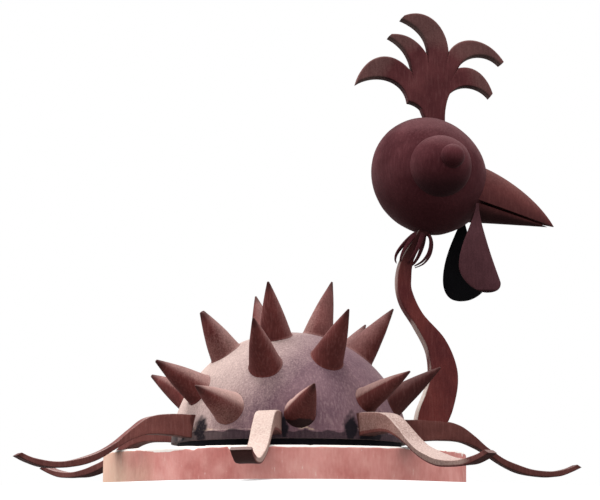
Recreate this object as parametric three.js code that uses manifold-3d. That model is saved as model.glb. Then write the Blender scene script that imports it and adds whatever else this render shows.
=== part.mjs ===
import * as THREE from 'three';
import { mergeVertices } from 'three/addons/utils/BufferGeometryUtils.js';
import Module from 'manifold-3d';

const wasm = await Module();
wasm.setup();

// Sizes are in millimetres and angles in degrees. Z is up, Z = 0 is the underside of the plinth,
// and the Z axis is the axis of the round body. Azimuths count from +X towards +Y.
const WELD_GAP = 0.3;

const plinth = { radius: 900, height: 154, offset: -24, edgeRound: 16, edgeSteps: 2, steps: 40 };
const footRing = { radius: 560, steps: 32 };
const dome = { radius: 591, centreZ: 168, rimZ: 201, aroundSteps: 48, upSteps: 12 };

// A spike is a rolled cone. Its length and base radius are measured where it meets the dome.
const spike = { length: 290, baseRadius: 80, tipRadius: 5, rootDepth: 25, sides: 16 };

// Each spike has an azimuth, an elevation seen from the dome's centre and, where it isn't set square
// to the dome, a lift and a sideways swing of its axis. A few are shorter or slimmer, and the one with
// a wide tip has lost its point.
const spikeRings = {
  top: [
    { azimuth: 4, elevation: 76.3, lift: -1.3, length: 285, baseRadius: 75 },
    { azimuth: 121, elevation: 67 },
    { azimuth: 250, elevation: 70, lift: -6.6, swing: 4, length: 281 },
  ],
  middle: [
    { azimuth: 1, elevation: 54.2, lift: -1.2 },
    { azimuth: 46, elevation: 50 },
    { azimuth: 92, elevation: 45 },
    { azimuth: 125, elevation: 38 },
    { azimuth: 204, elevation: 54, lift: 2.8, swing: 2.7, length: 230, tipRadius: 14 },
    { azimuth: 255, elevation: 41.5, lift: 2.7 },
    { azimuth: 297, elevation: 46.6, lift: 3.1, swing: 5.5, length: 286 },
  ],
  lower: [
    { azimuth: 61, elevation: 25 },
    { azimuth: 97, elevation: 25 },
    { azimuth: 132, elevation: 18 },
    { azimuth: 161, elevation: 27, lift: 2.9, length: 254 },
    { azimuth: 211, elevation: 29, length: 261 },
    { azimuth: 239, elevation: 18, lift: -1 },
    { azimuth: 275.6, elevation: 15.6, lift: 6.4, swing: 7.8, baseRadius: 71 },
    { azimuth: 313.4, elevation: 22.6, lift: 1.6, swing: 4, baseRadius: 64 },
    { azimuth: 339, elevation: 23, lift: 10.3, baseRadius: 68 },
  ],
};

// The bird looks along this azimuth, and the first arm lies under its neck.
const heading = 7;

// The arms share one S-shaped side view. An edge point has its place along the arm, from 0 at the root,
// where the arm leaves the dome, to 1 at the tip, and its height above the underside. Each arm has its
// own length and leans to one side of the radius through its root by its sweep. Its shift moves its root
// round the dome, its bend is below 1 where the drop comes later, and its tilt lifts the tip. An arm with
// a tip width narrows towards its tip, and one with a roll is twisted about its own length on the way down.
const arm = {
  width: 95, rootRadius: 575, rootHeight: 260, narrowsFrom: 0.62, rollsFrom: 0.28, rollsTo: 0.94,
};
const arms = [
  { length: 905, sweep: 0, bend: 0.83, tilt: -0.9 },
  { length: 865, sweep: 5 },
  { length: 865, sweep: 6 },
  { length: 856, sweep: 10, bend: 0.92, tilt: -0.3 },
  { length: 852, sweep: 12, bend: 0.95, tilt: 0.7 },
  { length: 830, sweep: 0.5, shift: -2.2 },
  { length: 864, sweep: 0, shift: -6.6, bend: 1.02, tipWidth: 55, roll: 12 },
];
const armTopEdge = [
  [-0.035, 326], [0.13, 325], [0.24, 305], [0.33, 249], [0.415, 186],
  [0.52, 134], [0.66, 95], [0.78, 84], [0.9, 99], [0.97, 120],
];
const armUnderEdge = [
  [1, 106], [0.93, 80], [0.85, 60], [0.75, 56], [0.64, 65], [0.52, 98],
  [0.41, 156], [0.33, 197], [0.24, 224], [0.13, 227], [-0.035, 212],
];

// The neck's edges in the upright plane through the dome's axis, as distance from the axis and height.
const neckThickness = 95;
const neckFootZ = 290;
const neckBackEdge = [
  [627, neckFootZ], [645, 375], [682, 466], [708, 557], [695, 678], [634, 799],
  [566, 910], [543, 1015], [560, 1124], [618, 1228], [687, 1340],
];
const neckFrontEdge = [
  [749, 1340], [678, 1228], [628, 1130], [616, 1045], [621, 972], [675, 860],
  [782, 740], [838, 619], [850, 510], [822, 377], [784, neckFootZ],
];

// Places on the head are counted from the centre of the ball: forward, to the bird's right, and up.
// The ball is a little oval: its long axis runs from the back of the crown down to the throat.
const head = { radius: 297, forward: 716, height: 1583, aroundSteps: 30, upSteps: 15 };
const headOval = { long: 1.047, short: 0.963, fall: 50, centre: [3, 0, -8] };
const eye = { radius: 156, centre: [14, 248, -3], aroundSteps: 20, upSteps: 10 };
const pupil = { radius: 60, fromEye: [33, 150, 25], aroundSteps: 12, upSteps: 6 };

const combThickness = 66;
const combStem = { left: -14, right: 86, foot: 250, leftRise: 300, rightRise: 340 };

// The mouth line falls from the head to the tip of the beak, and the half cones taper along it.
const beakTaper = 0.85;
const upperBeak = { mouthRoot: [160, -131], tip: [654, -259], halfWidth: 168 };
const upperBeakRidge = [[225, 64], [380, 20], [572, -114], [654, -259]];
const lowerBeak = { mouthRoot: [160, -141], tip: [621, -260], halfWidth: 138 };
const lowerBeakKeel = [[140, -238], [310, -244], [480, -252], [621, -260]];
const beakSteps = { along: 8, around: 10 };

const wattle = { thickness: 8, sideways: 162, splay: 3 };
const wattleTops = [
  { name: 'wattle_right', side: 1, forward: 217, up: -196, outline: rightWattleOutline },
  { name: 'wattle_left', side: -1, forward: 208, up: -208, outline: leftWattleOutline },
];

// The claws arch out of the neck around its own axis, which leans back under the head. An edge point has
// its distance from that axis and its height on it. Those at the front arch wider than those at the back.
const ruff = {
  count: 8, width: 16, thickness: 7, forward: 674, height: 1285, lean: 27.4, firstTurn: 10,
};
const clawBackEdge = [[29, -16], [42, -40], [60, -98], [68, -155], [59, -190], [45, -201]];
const clawFrontEdge = [[22, 16], [56, 9], [88, -27], [103, -83], [92, -137], [60, -178]];

const finishes = {
  paintedStone: { colour: 0xc98a82, roughness: 0.85, metalness: 0 },
  blackSteel: { colour: 0x17171b, roughness: 0.8, metalness: 0.3 },
  dustyRust: { colour: 0x8c706e, roughness: 0.8, metalness: 0.2 },
  redRust: { colour: 0x6f4740, roughness: 0.75, metalness: 0.25 },
  paleRust: { colour: 0x8d6a60, roughness: 0.8, metalness: 0.2 },
  darkRust: { colour: 0x50302e, roughness: 0.7, metalness: 0.3 },
};

const radians = THREE.MathUtils.degToRad;
const part = new THREE.Group();

// Shapes and solids

function vectors(points) {
  return points.map(([x, y]) => new THREE.Vector2(x, y));
}

function toSolid(geometry) {
  geometry.deleteAttribute('normal');
  geometry.deleteAttribute('uv');
  const merged = mergeVertices(geometry, 1e-4);
  const corners = merged.index.array;
  const triangles = [];
  for (let i = 0; i < corners.length; i += 3) {
    const [a, b, c] = corners.slice(i, i + 3);
    if (a !== b && b !== c && c !== a) triangles.push(a, b, c);
  }
  return new wasm.Manifold(new wasm.Mesh({
    numProp: 3,
    vertProperties: new Float32Array(merged.attributes.position.array),
    triVerts: new Uint32Array(triangles),
  }));
}

function toGeometry(solid) {
  const mesh = solid.getMesh();
  const geometry = new THREE.BufferGeometry();
  geometry.setAttribute('position', new THREE.BufferAttribute(mesh.vertProperties, 3));
  geometry.setIndex(new THREE.BufferAttribute(mesh.triVerts, 1));
  return geometry;
}

function addPart(name, solid, finish) {
  const { colour, roughness, metalness } = finish;
  const material = new THREE.MeshStandardMaterial({ color: colour, roughness, metalness });
  const geometry = toGeometry(solid);
  geometry.computeVertexNormals();
  const mesh = new THREE.Mesh(geometry, material);
  mesh.name = name;
  part.add(mesh);
}

function turnedAboutZ(solid, angle) {
  return solid.rotate([0, 0, angle]);
}

// A flat outline set upright, with its thickness shared on both sides of the XZ plane.
function plateGeometry(shape, thickness, curveSegments) {
  const geometry = new THREE.ExtrudeGeometry(shape, {
    depth: thickness, bevelEnabled: false, curveSegments,
  });
  geometry.translate(0, 0, -thickness / 2);
  return geometry.rotateX(Math.PI / 2);
}

function uprightPlate(shape, thickness, curveSegments) {
  return toSolid(plateGeometry(shape, thickness, curveSegments));
}

function turnedProfile(profile, steps) {
  const geometry = new THREE.LatheGeometry(profile, steps);
  geometry.rotateX(Math.PI / 2);
  return toSolid(geometry);
}

function ball(radius, centre, aroundSteps, upSteps) {
  const geometry = new THREE.SphereGeometry(radius, aroundSteps, upSteps);
  geometry.rotateX(Math.PI / 2);
  return toSolid(geometry).translate(centre);
}

// Plinth, foot ring and dome

function makePlinth() {
  const { radius, height, edgeRound, edgeSteps, steps } = plinth;
  const edge = new THREE.Path();
  edge.moveTo(0, 0);
  edge.lineTo(radius, 0);
  edge.absarc(radius - edgeRound, height - edgeRound, edgeRound, 0, Math.PI / 2);
  edge.lineTo(0, height);
  return turnedProfile(edge.getPoints(edgeSteps), steps).translate([plinth.offset, 0, 0]);
}

function makeFootRing() {
  const bottom = plinth.height + WELD_GAP;
  const top = dome.rimZ - WELD_GAP;
  const corners = [[0, bottom], [footRing.radius, bottom], [footRing.radius, top], [0, top]];
  return turnedProfile(vectors(corners), footRing.steps);
}

function makeDome(clearance) {
  const radius = dome.radius + clearance;
  const rimAngle = Math.asin((dome.rimZ - dome.centreZ) / radius);
  const profile = [new THREE.Vector2(0, dome.rimZ)];
  for (let step = 0; step <= dome.upSteps; step += 1) {
    const angle = THREE.MathUtils.lerp(rimAngle, Math.PI / 2, step / dome.upSteps);
    const reach = step === dome.upSteps ? 0 : radius * Math.cos(angle);
    profile.push(new THREE.Vector2(reach, dome.centreZ + radius * Math.sin(angle)));
  }
  return turnedProfile(profile, dome.aroundSteps);
}

// Spikes

function makeSpike(place, domeCutter) {
  const { azimuth, elevation, lift = 0, swing = 0 } = place;
  const { length, baseRadius, tipRadius } = { ...spike, ...place };
  const widening = (baseRadius - tipRadius) / length;
  const rootRadius = baseRadius + widening * spike.rootDepth;
  const fullLength = length + spike.rootDepth;
  const cone = new THREE.CylinderGeometry(tipRadius, rootRadius, fullLength, spike.sides);
  cone.translate(0, fullLength / 2 - spike.rootDepth, 0);
  cone.rotateZ(-Math.PI / 2);
  cone.rotateY(-radians(elevation + lift));
  cone.rotateZ(radians(swing));
  const foot = dome.radius * Math.cos(radians(elevation));
  const rise = dome.centreZ + dome.radius * Math.sin(radians(elevation));
  const solid = toSolid(cone).translate([foot, 0, rise]);
  return turnedAboutZ(solid, azimuth).subtract(domeCutter);
}

// Arms, laid along +X before they are turned to their azimuth

// A bar whose sides close in towards the tip.
function narrowed(bar, length, tipWidth) {
  if (tipWidth === arm.width) return bar;
  const run = length * (1 - arm.narrowsFrom);
  const slope = Math.atan2((arm.width - tipWidth) / 2, run);
  const inwards = [-Math.sin(slope), -Math.cos(slope)];
  const offset = inwards[0] * length + (inwards[1] * tipWidth) / 2;
  return bar.trimByPlane([inwards[0], inwards[1], 0], offset)
    .trimByPlane([inwards[0], -inwards[1], 0], offset);
}

// The height of an edge at a place along the bar.
function heightOn(edge, place) {
  const after = Math.max(edge.findIndex((point) => point.x >= place), 1);
  const [from, to] = edge.slice(after - 1, after + 1);
  return THREE.MathUtils.mapLinear(place, from.x, to.x, from.y, to.y);
}

// A bar twisted about its middle line, where the roll grows and fades again as a squared sine.
function rolled(geometry, top, under, length, roll) {
  const position = geometry.attributes.position;
  for (let index = 0; index < position.count; index += 1) {
    const x = position.getX(index);
    const middle = (heightOn(top, x) + heightOn(under, x)) / 2;
    const share = (x / length - arm.rollsFrom) / (arm.rollsTo - arm.rollsFrom);
    const angle = radians(roll) * Math.sin(Math.PI * THREE.MathUtils.clamp(share, 0, 1)) ** 2;
    const offset = new THREE.Vector2(position.getY(index), position.getZ(index) - middle);
    offset.rotateAround(new THREE.Vector2(), angle);
    position.setXYZ(index, x, offset.x, middle + offset.y);
  }
  return geometry;
}

function makeArmBar(fitting) {
  const { length, sweep, bend = 1, tilt = 0, tipWidth = arm.width, roll = 0 } = fitting;
  const bent = (along) => (along > 0 ? along ** bend : along);
  const place = ([along, height]) => new THREE.Vector2(length * bent(along), height - arm.rootHeight);
  const top = armTopEdge.map(place);
  const under = armUnderEdge.map(place);
  const outline = new THREE.Shape();
  outline.moveTo(top[0].x, top[0].y);
  outline.splineThru(top.slice(1));
  outline.lineTo(under[0].x, under[0].y);
  outline.splineThru(under.slice(1));
  const plate = plateGeometry(outline, arm.width, 2);
  const solid = toSolid(rolled(plate, top, under.toReversed(), length, roll));
  const bar = narrowed(solid, length, tipWidth);
  return bar.rotate([0, -tilt, -sweep]).translate([arm.rootRadius, 0, arm.rootHeight]);
}

// Neck and ruff, made facing +X

function makeNeckPlate(clearance) {
  const back = vectors(neckBackEdge);
  const front = vectors(neckFrontEdge);
  const outline = new THREE.Shape();
  outline.moveTo(back[0].x, back[0].y);
  outline.splineThru(back.slice(1));
  outline.lineTo(front[0].x, front[0].y);
  outline.splineThru(front.slice(1));
  return uprightPlate(outline, neckThickness + 2 * clearance, 2);
}

function makeNeck(armBelow, headCutter) {
  const armCutter = armBelow.translate([0, 0, WELD_GAP]);
  return makeNeckPlate(0).subtract(headCutter).subtract(armCutter);
}

// The neck, shifted both ways along X and a little thicker, keeps the weld gap on all its sides.
function clearOfNeck(solid) {
  const cutter = makeNeckPlate(WELD_GAP);
  return solid.subtract(cutter.translate([WELD_GAP, 0, 0])).subtract(cutter.translate([-WELD_GAP, 0, 0]));
}

function makeClaw(turn, headCutter) {
  const frontShare = (1 + Math.cos(radians(turn))) / 2;
  const front = vectors(clawFrontEdge);
  const outer = vectors(clawBackEdge).map((point, index) => point.lerp(front[index], frontShare));
  const inner = outer.slice(0, -1).map((point, index) => {
    const run = outer[index + 1].clone().sub(outer[Math.max(index - 1, 0)]).normalize();
    return new THREE.Vector2(run.y, -run.x).multiplyScalar(ruff.thickness).add(point);
  });
  const outline = new THREE.Shape();
  outline.moveTo(outer[0].x, outer[0].y);
  outline.splineThru(outer.slice(1));
  outline.splineThru(inner.reverse());
  const claw = turnedAboutZ(uprightPlate(outline, ruff.width, 2), turn).rotate([0, ruff.lean, 0]);
  return clearOfNeck(claw.translate([ruff.forward, 0, ruff.height])).subtract(headCutter);
}

// Head, eyes, comb, beak and wattles, made facing +X

function onHead(forward, right, up) {
  return [head.forward + forward, -right, head.height + up];
}

function makeHead(clearance) {
  const { long, short, fall, centre } = headOval;
  const round = ball(head.radius + clearance, [0, 0, 0], head.aroundSteps, head.upSteps);
  return round.scale([long, 1, short]).rotate([0, fall, 0]).translate(onHead(...centre));
}

function makeEye(side, clearance) {
  const [forward, right, up] = eye.centre;
  const centre = onHead(forward, side * right, up);
  return ball(eye.radius + clearance, centre, eye.aroundSteps, eye.upSteps);
}

function makePupil(side) {
  const [forward, right, up] = eye.centre.map((value, axis) => value + pupil.fromEye[axis]);
  const centre = onHead(forward, side * right, up);
  return ball(pupil.radius, centre, pupil.aroundSteps, pupil.upSteps);
}

// Five curved fingers, traced from the back of the stem over the top to its front.
function combOutline() {
  const outline = new THREE.Shape();
  outline.moveTo(combStem.left, combStem.foot);
  outline.lineTo(combStem.left, combStem.leftRise);
  outline.quadraticCurveTo(-40, 364, -107, 374);
  outline.bezierCurveTo(-119, 484, -251, 540, -378, 463);
  outline.bezierCurveTo(-351, 592, -209, 686, -85, 530);
  outline.quadraticCurveTo(-97, 658, -208, 714);
  outline.lineTo(-189, 731);
  outline.quadraticCurveTo(-74, 742, -2, 622);
  outline.quadraticCurveTo(3, 755, -142, 811);
  outline.lineTo(-120, 833);
  outline.bezierCurveTo(-9, 876, 98, 796, 108, 644);
  outline.bezierCurveTo(161, 740, 311, 737, 398, 600);
  outline.lineTo(377, 584);
  outline.bezierCurveTo(314, 652, 203, 643, 158, 560);
  outline.bezierCurveTo(226, 579, 301, 544, 337, 430);
  outline.lineTo(320, 408);
  outline.bezierCurveTo(254, 494, 96, 492, 80, combStem.rightRise);
  outline.lineTo(combStem.right, combStem.foot);
  return outline;
}

function makeComb(headCutter) {
  const comb = uprightPlate(combOutline(), combThickness, 6);
  return comb.translate(onHead(0, 0, 0)).subtract(headCutter);
}

// A half cone between the straight mouth line and a curved ridge or keel. Each section is half an
// ellipse, as wide as the mouth and as deep as the ridge or keel stands off the mouth line.
function makeHalfBeak(beak, ridgePoints, headCutter) {
  const ridge = new THREE.CubicBezierCurve(...vectors(ridgePoints));
  const mouth = new THREE.LineCurve(...vectors([beak.mouthRoot, beak.tip]));
  const { along, around } = beakSteps;
  const positions = [];
  for (let station = 0; station < along; station += 1) {
    const t = station / along;
    const low = mouth.getPoint(t);
    const high = ridge.getPoint(t);
    const halfWidth = beak.halfWidth * (1 - t) ** beakTaper;
    for (let step = 0; step <= around; step += 1) {
      const angle = (Math.PI * step) / around;
      const middle = low.clone().lerp(high, Math.sin(angle));
      positions.push(...onHead(middle.x, halfWidth * Math.cos(angle), middle.y));
    }
  }
  const tip = along * (around + 1);
  positions.push(...onHead(beak.tip[0], 0, beak.tip[1]));
  const ring = around + 1;
  const triangles = [];
  for (let step = 1; step < around; step += 1) triangles.push(0, step, step + 1);
  for (let station = 0; station < along; station += 1) {
    for (let step = 0; step < ring; step += 1) {
      const a = station * ring + step;
      const b = station * ring + ((step + 1) % ring);
      if (station === along - 1) triangles.push(b, a, tip);
      else triangles.push(b, a, a + ring, b, a + ring, b + ring);
    }
  }
  const geometry = new THREE.BufferGeometry();
  geometry.setAttribute('position', new THREE.Float32BufferAttribute(positions, 3));
  const opensDown = ridgePoints[0][1] > beak.mouthRoot[1];
  geometry.setIndex(opensDown ? triangles : triangles.reverse());
  return toSolid(geometry).subtract(headCutter);
}

// Each wattle is a drop, traced from its narrow top down its back, round and up its front.
function rightWattleOutline() {
  const outline = new THREE.Shape();
  outline.moveTo(-8, 40);
  outline.lineTo(-8, 0);
  outline.bezierCurveTo(-30, -90, -95, -190, -95, -291);
  outline.bezierCurveTo(-95, -350, -30, -427, 50, -427);
  outline.bezierCurveTo(95, -427, 122, -410, 119, -375);
  outline.bezierCurveTo(108, -335, 22, -130, 10, 0);
  outline.lineTo(10, 40);
  return outline;
}

function leftWattleOutline() {
  const outline = new THREE.Shape();
  outline.moveTo(-8, 40);
  outline.lineTo(-8, 0);
  outline.bezierCurveTo(-45, -90, -105, -200, -110, -310);
  outline.bezierCurveTo(-114, -385, -75, -426, -20, -426);
  outline.bezierCurveTo(40, -426, 112, -385, 116, -335);
  outline.bezierCurveTo(105, -280, 35, -110, 10, 0);
  outline.lineTo(10, 40);
  return outline;
}

function makeWattle(place, headCutter) {
  const plate = uprightPlate(place.outline(), wattle.thickness, 5);
  const turned = plate.rotate([place.side * wattle.splay, 0, 0]);
  const centre = onHead(place.forward, place.side * wattle.sideways, place.up);
  return turned.translate(centre).subtract(headCutter);
}

// Assembly

function addBase() {
  addPart('plinth', makePlinth(), finishes.paintedStone);
  addPart('base_ring', makeFootRing(), finishes.blackSteel);
  addPart('dome_body', makeDome(0), finishes.dustyRust);
}

function addSpikes(domeCutter) {
  for (const [ring, places] of Object.entries(spikeRings)) {
    places.forEach((place, index) => {
      addPart(`spike_${ring}_${index + 1}`, makeSpike(place, domeCutter), finishes.redRust);
    });
  }
}

function addArms(domeCutter) {
  arms.forEach((fitting, index) => {
    const azimuth = heading + (360 * index) / arms.length + (fitting.shift ?? 0);
    const bar = turnedAboutZ(makeArmBar(fitting), azimuth);
    addPart(`arm_${index + 1}`, bar.subtract(domeCutter), finishes.paleRust);
  });
}

function addBirdPart(name, solid) {
  addPart(name, turnedAboutZ(solid, heading), finishes.darkRust);
}

function addNeckAndRuff(headCutter) {
  addBirdPart('neck', makeNeck(makeArmBar(arms[0]), headCutter));
  for (let index = 0; index < ruff.count; index += 1) {
    const turn = ruff.firstTurn + (360 * index) / ruff.count;
    addBirdPart(`ruff_claw_${index + 1}`, makeClaw(turn, headCutter));
  }
}

function addHead(headCutter) {
  addBirdPart('head_ball', makeHead(0));
  for (const [name, side] of [['right', 1], ['left', -1]]) {
    addBirdPart(`eye_${name}`, makeEye(side, 0).subtract(headCutter));
    addBirdPart(`pupil_${name}`, makePupil(side).subtract(makeEye(side, WELD_GAP)));
  }
  addBirdPart('comb', makeComb(headCutter));
  addBirdPart('beak_upper', makeHalfBeak(upperBeak, upperBeakRidge, headCutter));
  addBirdPart('beak_lower', makeHalfBeak(lowerBeak, lowerBeakKeel, headCutter));
  wattleTops.forEach((place) => addBirdPart(place.name, makeWattle(place, headCutter)));
}

const domeCutter = makeDome(WELD_GAP);
const headCutter = makeHead(WELD_GAP);
addBase();
addSpikes(domeCutter);
addArms(domeCutter);
addNeckAndRuff(headCutter);
addHead(headCutter);

export default part;
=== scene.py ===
import math

import bpy
import numpy as np
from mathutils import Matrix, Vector


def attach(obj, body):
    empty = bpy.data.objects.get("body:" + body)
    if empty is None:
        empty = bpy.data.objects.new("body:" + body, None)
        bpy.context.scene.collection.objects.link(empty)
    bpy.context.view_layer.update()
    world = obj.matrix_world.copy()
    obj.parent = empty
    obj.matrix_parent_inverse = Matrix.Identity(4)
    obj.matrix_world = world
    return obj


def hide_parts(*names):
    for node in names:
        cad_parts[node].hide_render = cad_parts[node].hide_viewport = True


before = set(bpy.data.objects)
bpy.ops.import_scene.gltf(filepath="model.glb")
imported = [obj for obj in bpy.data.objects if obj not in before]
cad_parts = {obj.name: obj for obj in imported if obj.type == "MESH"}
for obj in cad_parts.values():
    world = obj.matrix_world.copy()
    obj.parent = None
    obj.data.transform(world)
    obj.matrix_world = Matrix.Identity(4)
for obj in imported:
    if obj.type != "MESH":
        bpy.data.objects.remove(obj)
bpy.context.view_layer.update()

# Sizes are in millimetres and angles in degrees until a piece is put into its mesh. Z is up, Z = 0 is the
# underside of the plinth, and the Z axis is the axis of the dome. Azimuths count from +X towards +Y.
MM = 0.001

# Dents, chips and beads are depths and heights on the plain shape. Soot, stain, bleach and chalk are shares
# of the surface, and so are the painted shade, shadow and highlight that some of these marks carry.
PLINTH = {
    "radius": 900, "height": 154, "offset": -24, "edge_round": 16, "rows": 24, "steps_round": 720,
    "dent": 0.8, "skin_inset": 1, "chip_in": 5, "chip_down": 3,
    "flaked_azimuth": 230, "flaked_depth": 18, "flaked_reach": 110, "shade_inside": 0.8, "sallow_and_light": 0.8,
}
# Dark marks on the plinth's side, the first a rust smudge and the second a painted shadow of the arm above
# it:
# azimuth and level of the middle, size and strength.
PLINTH_STAINS_AND_SHADOWS = [(306, 122, 36, 0.6), (219, 95, 120, 0.45)]
FOOT_RING = {"radius": 560, "bottom": 154.3, "top": 202, "waist": 4}
DOME = {
    "radius": 591, "centre_z": 168, "rim_z": 201, "skirt_top": 242, "bead": 1.5, "bead_width": 4,
    "steps_round": 420, "broad_dent": 1.3, "small_dent": 0.5,
    "skirt_shade": 0.72, "weld_soot": 0.6, "lip_chalk": 0.8,
}
# Painted shadows of the arms on the dome beside some arm roots: azimuth and level of its middle, half width,
# half height, strength.
DOME_ARM_SHADOWS = [
    (223.2, 240, 52, 80, 0.9), (190, 205, 250, 45, 1), (268, 245, 21, 75, 1),
    (300.5, 250, 42, 75, 1), (311, 205, 85, 38, 1),
]

# A spike is a rolled cone set square to the dome, unless its place says otherwise.
SPIKE = {
    "bulge": 6, "broken_tip": 12, "bedded": 2, "weld_flare": 4, "weld_width": 6, "seam": 1.6,
    "seam_angle": 0.09, "steps_round": 64, "dent": 0.9, "weld_soot": 0.35, "tip_soot": 0.6,
}
USUAL_SPIKE = {
    "lift": 0, "swing": 0, "length": 290, "base_radius": 80, "tip_radius": 5, "dust_and_highlight": 0.15,
    "bounce_highlight_under": 0, "soot_and_shade": 0, "painted_shadow_level": 0,
}
# Azimuth, elevation seen from the dome's centre, lift and swing of the axis, and sizes where they differ.
# The dust share is dust and painted highlight on the upper side, the share under it what part of that lies
# underneath too as painted light bounced up, and the soot share soot and painted shade on all sides; below
# its shadow level a spike is black, a painted shadow.
SPIKE_RINGS = {
    "top": [
        {"azimuth": 4, "elevation": 76.3, "lift": -1.3, "length": 285, "base_radius": 75, "dust_and_highlight": 0.5},
        {"azimuth": 121, "elevation": 67},
        {"azimuth": 250, "elevation": 70, "lift": -6.6, "swing": 4, "length": 281, "tip_radius": 6},
    ],
    "middle": [
        {"azimuth": 1, "elevation": 54.2, "lift": -1.2},
        {"azimuth": 46, "elevation": 50},
        {"azimuth": 92, "elevation": 45},
        {"azimuth": 125, "elevation": 38},
        {
            "azimuth": 204, "elevation": 54, "lift": 2.8, "swing": 2.7, "length": 230, "tip_radius": 14,
            "dust_and_highlight": 0.45, "bounce_highlight_under": 0.6,
        },
        {"azimuth": 255, "elevation": 41.5, "lift": 2.7},
        {"azimuth": 297, "elevation": 46.6, "lift": 3.1, "swing": 5.5, "length": 286},
    ],
    "lower": [
        {"azimuth": 61, "elevation": 25},
        {"azimuth": 97, "elevation": 25},
        {"azimuth": 132, "elevation": 18},
        {"azimuth": 161, "elevation": 27, "lift": 2.9, "length": 254, "tip_radius": 9, "dust_and_highlight": 0.4},
        {"azimuth": 211, "elevation": 29, "length": 261, "tip_radius": 9, "dust_and_highlight": 0.45, "bounce_highlight_under": 0.2},
        {"azimuth": 239, "elevation": 18, "lift": -1, "dust_and_highlight": 0.85, "bounce_highlight_under": 0.33},
        {
            "azimuth": 275.6, "elevation": 15.6, "lift": 6.4, "swing": 7.8, "base_radius": 71,
            "dust_and_highlight": 0.9, "painted_shadow_level": 286,
        },
        {
            "azimuth": 313.4, "elevation": 22.6, "lift": 1.6, "swing": 4, "base_radius": 64,
            "dust_and_highlight": 0.6, "soot_and_shade": 0.28,
        },
        {"azimuth": 339, "elevation": 23, "lift": 10.3, "base_radius": 68, "soot_and_shade": 0.52},
    ],
}

# The azimuth that the bird faces.
HEADING = 7

ARM = {
    "width": 95, "root_radius": 575, "root_height": 260, "narrows_from": 0.62,
    "rolls_from": 0.28, "rolls_to": 0.94, "rounding": 5, "dent": 0.8, "root_shade": 0.8, "end_dark": 0.55,
}
# Each arm's own length, sweep to one side, bend of the S, tilt of the tip, shift round the dome, tip width,
# roll about its length, paling of its top and sides by bleach and painted highlight, and an all-over
# darkening, from the one under the neck on.
USUAL_ARM = {
    "sweep": 0, "bend": 1, "tilt": 0, "shift": 0, "tip_width": 95, "roll": 0,
    "pale_top": 0, "pale_sides": 0, "soot_and_shade": 0,
}
ARMS = [
    {"length": 905, "bend": 0.83, "tilt": -0.9, "soot_and_shade": 0.38},
    {"length": 865, "sweep": 5},
    {"length": 865, "sweep": 6},
    {"length": 856, "sweep": 10, "bend": 0.92, "tilt": -0.3},
    {"length": 852, "sweep": 12, "bend": 0.95, "tilt": 0.7},
    {"length": 830, "sweep": 0.5, "shift": -2.2, "pale_top": 0.62, "pale_sides": 0.5},
    {
        "length": 864, "shift": -6.6, "bend": 1.02, "tip_width": 55, "roll": 12,
        "pale_top": 0.4, "pale_sides": 0.42,
    },
]
# Edge points of an arm: the place along it, from 0 at the root to 1 at the tip, and the height.
ARM_TOP = [
    (-0.035, 326), (0.13, 325), (0.24, 305), (0.33, 249), (0.415, 186),
    (0.52, 134), (0.66, 95), (0.78, 84), (0.9, 99), (0.97, 120),
]
ARM_UNDER = [
    (-0.035, 212), (0.13, 227), (0.24, 224), (0.33, 197), (0.41, 156), (0.52, 98),
    (0.64, 65), (0.75, 56), (0.85, 60), (0.93, 80), (1, 106),
]

# Edge points of the neck: distance from the dome's axis and height.
NECK = {"thickness": 95, "rounding": 9, "dent": 0.8, "pale_back": 0.4, "paler_foot": 0.7, "top_shade": 0.62}
NECK_BACK = [
    (627, 290), (645, 375), (682, 466), (708, 557), (695, 678), (634, 799),
    (566, 910), (543, 1015), (560, 1124), (618, 1228), (687, 1340),
]
NECK_FRONT = [
    (784, 290), (822, 377), (850, 510), (838, 619), (782, 740), (675, 860),
    (621, 972), (616, 1045), (628, 1130), (678, 1228), (749, 1340),
]

# Edge points of a claw: distance from the ruff's leaning axis and height on it. The claws between the back
# and the front are blends of these two.
RUFF = {
    "count": 8, "width": 26, "thickness": 14, "rounding": 3, "forward": 674, "height": 1285, "lean": 27.4,
    "first_turn": 10,
}
CLAW_BACK = [(29, -16), (42, -40), (60, -98), (68, -155), (59, -190), (45, -201)]
CLAW_FRONT = [(22, 16), (56, 9), (88, -27), (103, -83), (92, -137), (60, -178)]

# Places on the head are counted from the centre of the ball: forward, to the bird's right, and up.
# The ball is a little oval: its long axis runs from the back of the crown down to the throat.
HEAD = {"radius": 297, "forward": 716, "height": 1583, "broad_dent": 1.2, "small_dent": 0.4}
HEAD_OVAL = {"long": 1.047, "short": 0.963, "fall": 50, "centre": (3, 0, -8)}
# The lower half of each eye is darkened with painted shade.
EYE = {"radius": 156, "centre": (14, 248, -3), "dent": 0.7, "shade_below": 0.55}
PUPIL = {"radius": 60, "from_eye": (33, 150, 25)}

# Each half of the beak: the ends of its straight mouth line and the Bezier control points of its ridge, as
# (forward, up). Its width falls from the root to the tip as a power of what is left of the length.
BEAK_TAPER = 0.85
BEAK_SHEET = 8
UPPER_BEAK = {
    "mouth": [(160, -131), (654, -259)], "half_width": 168,
    "ridge": [(225, 64), (380, 20), (572, -114), (654, -259)],
}
LOWER_BEAK = {
    "mouth": [(160, -141), (621, -260)], "half_width": 138,
    "ridge": [(140, -238), (310, -244), (480, -252), (621, -260)],
}

COMB = {
    "thickness": 66, "rounding": 10, "dent": 0.8, "foot": 250, "tuck": 7, "stem_top": 430, "bleach": 0.37,
}
WATTLE = {
    "thickness": 8, "rounding": 3, "sideways": 162, "splay": 3, "dish": 12, "dish_reach": 110, "root": 25,
}
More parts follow.
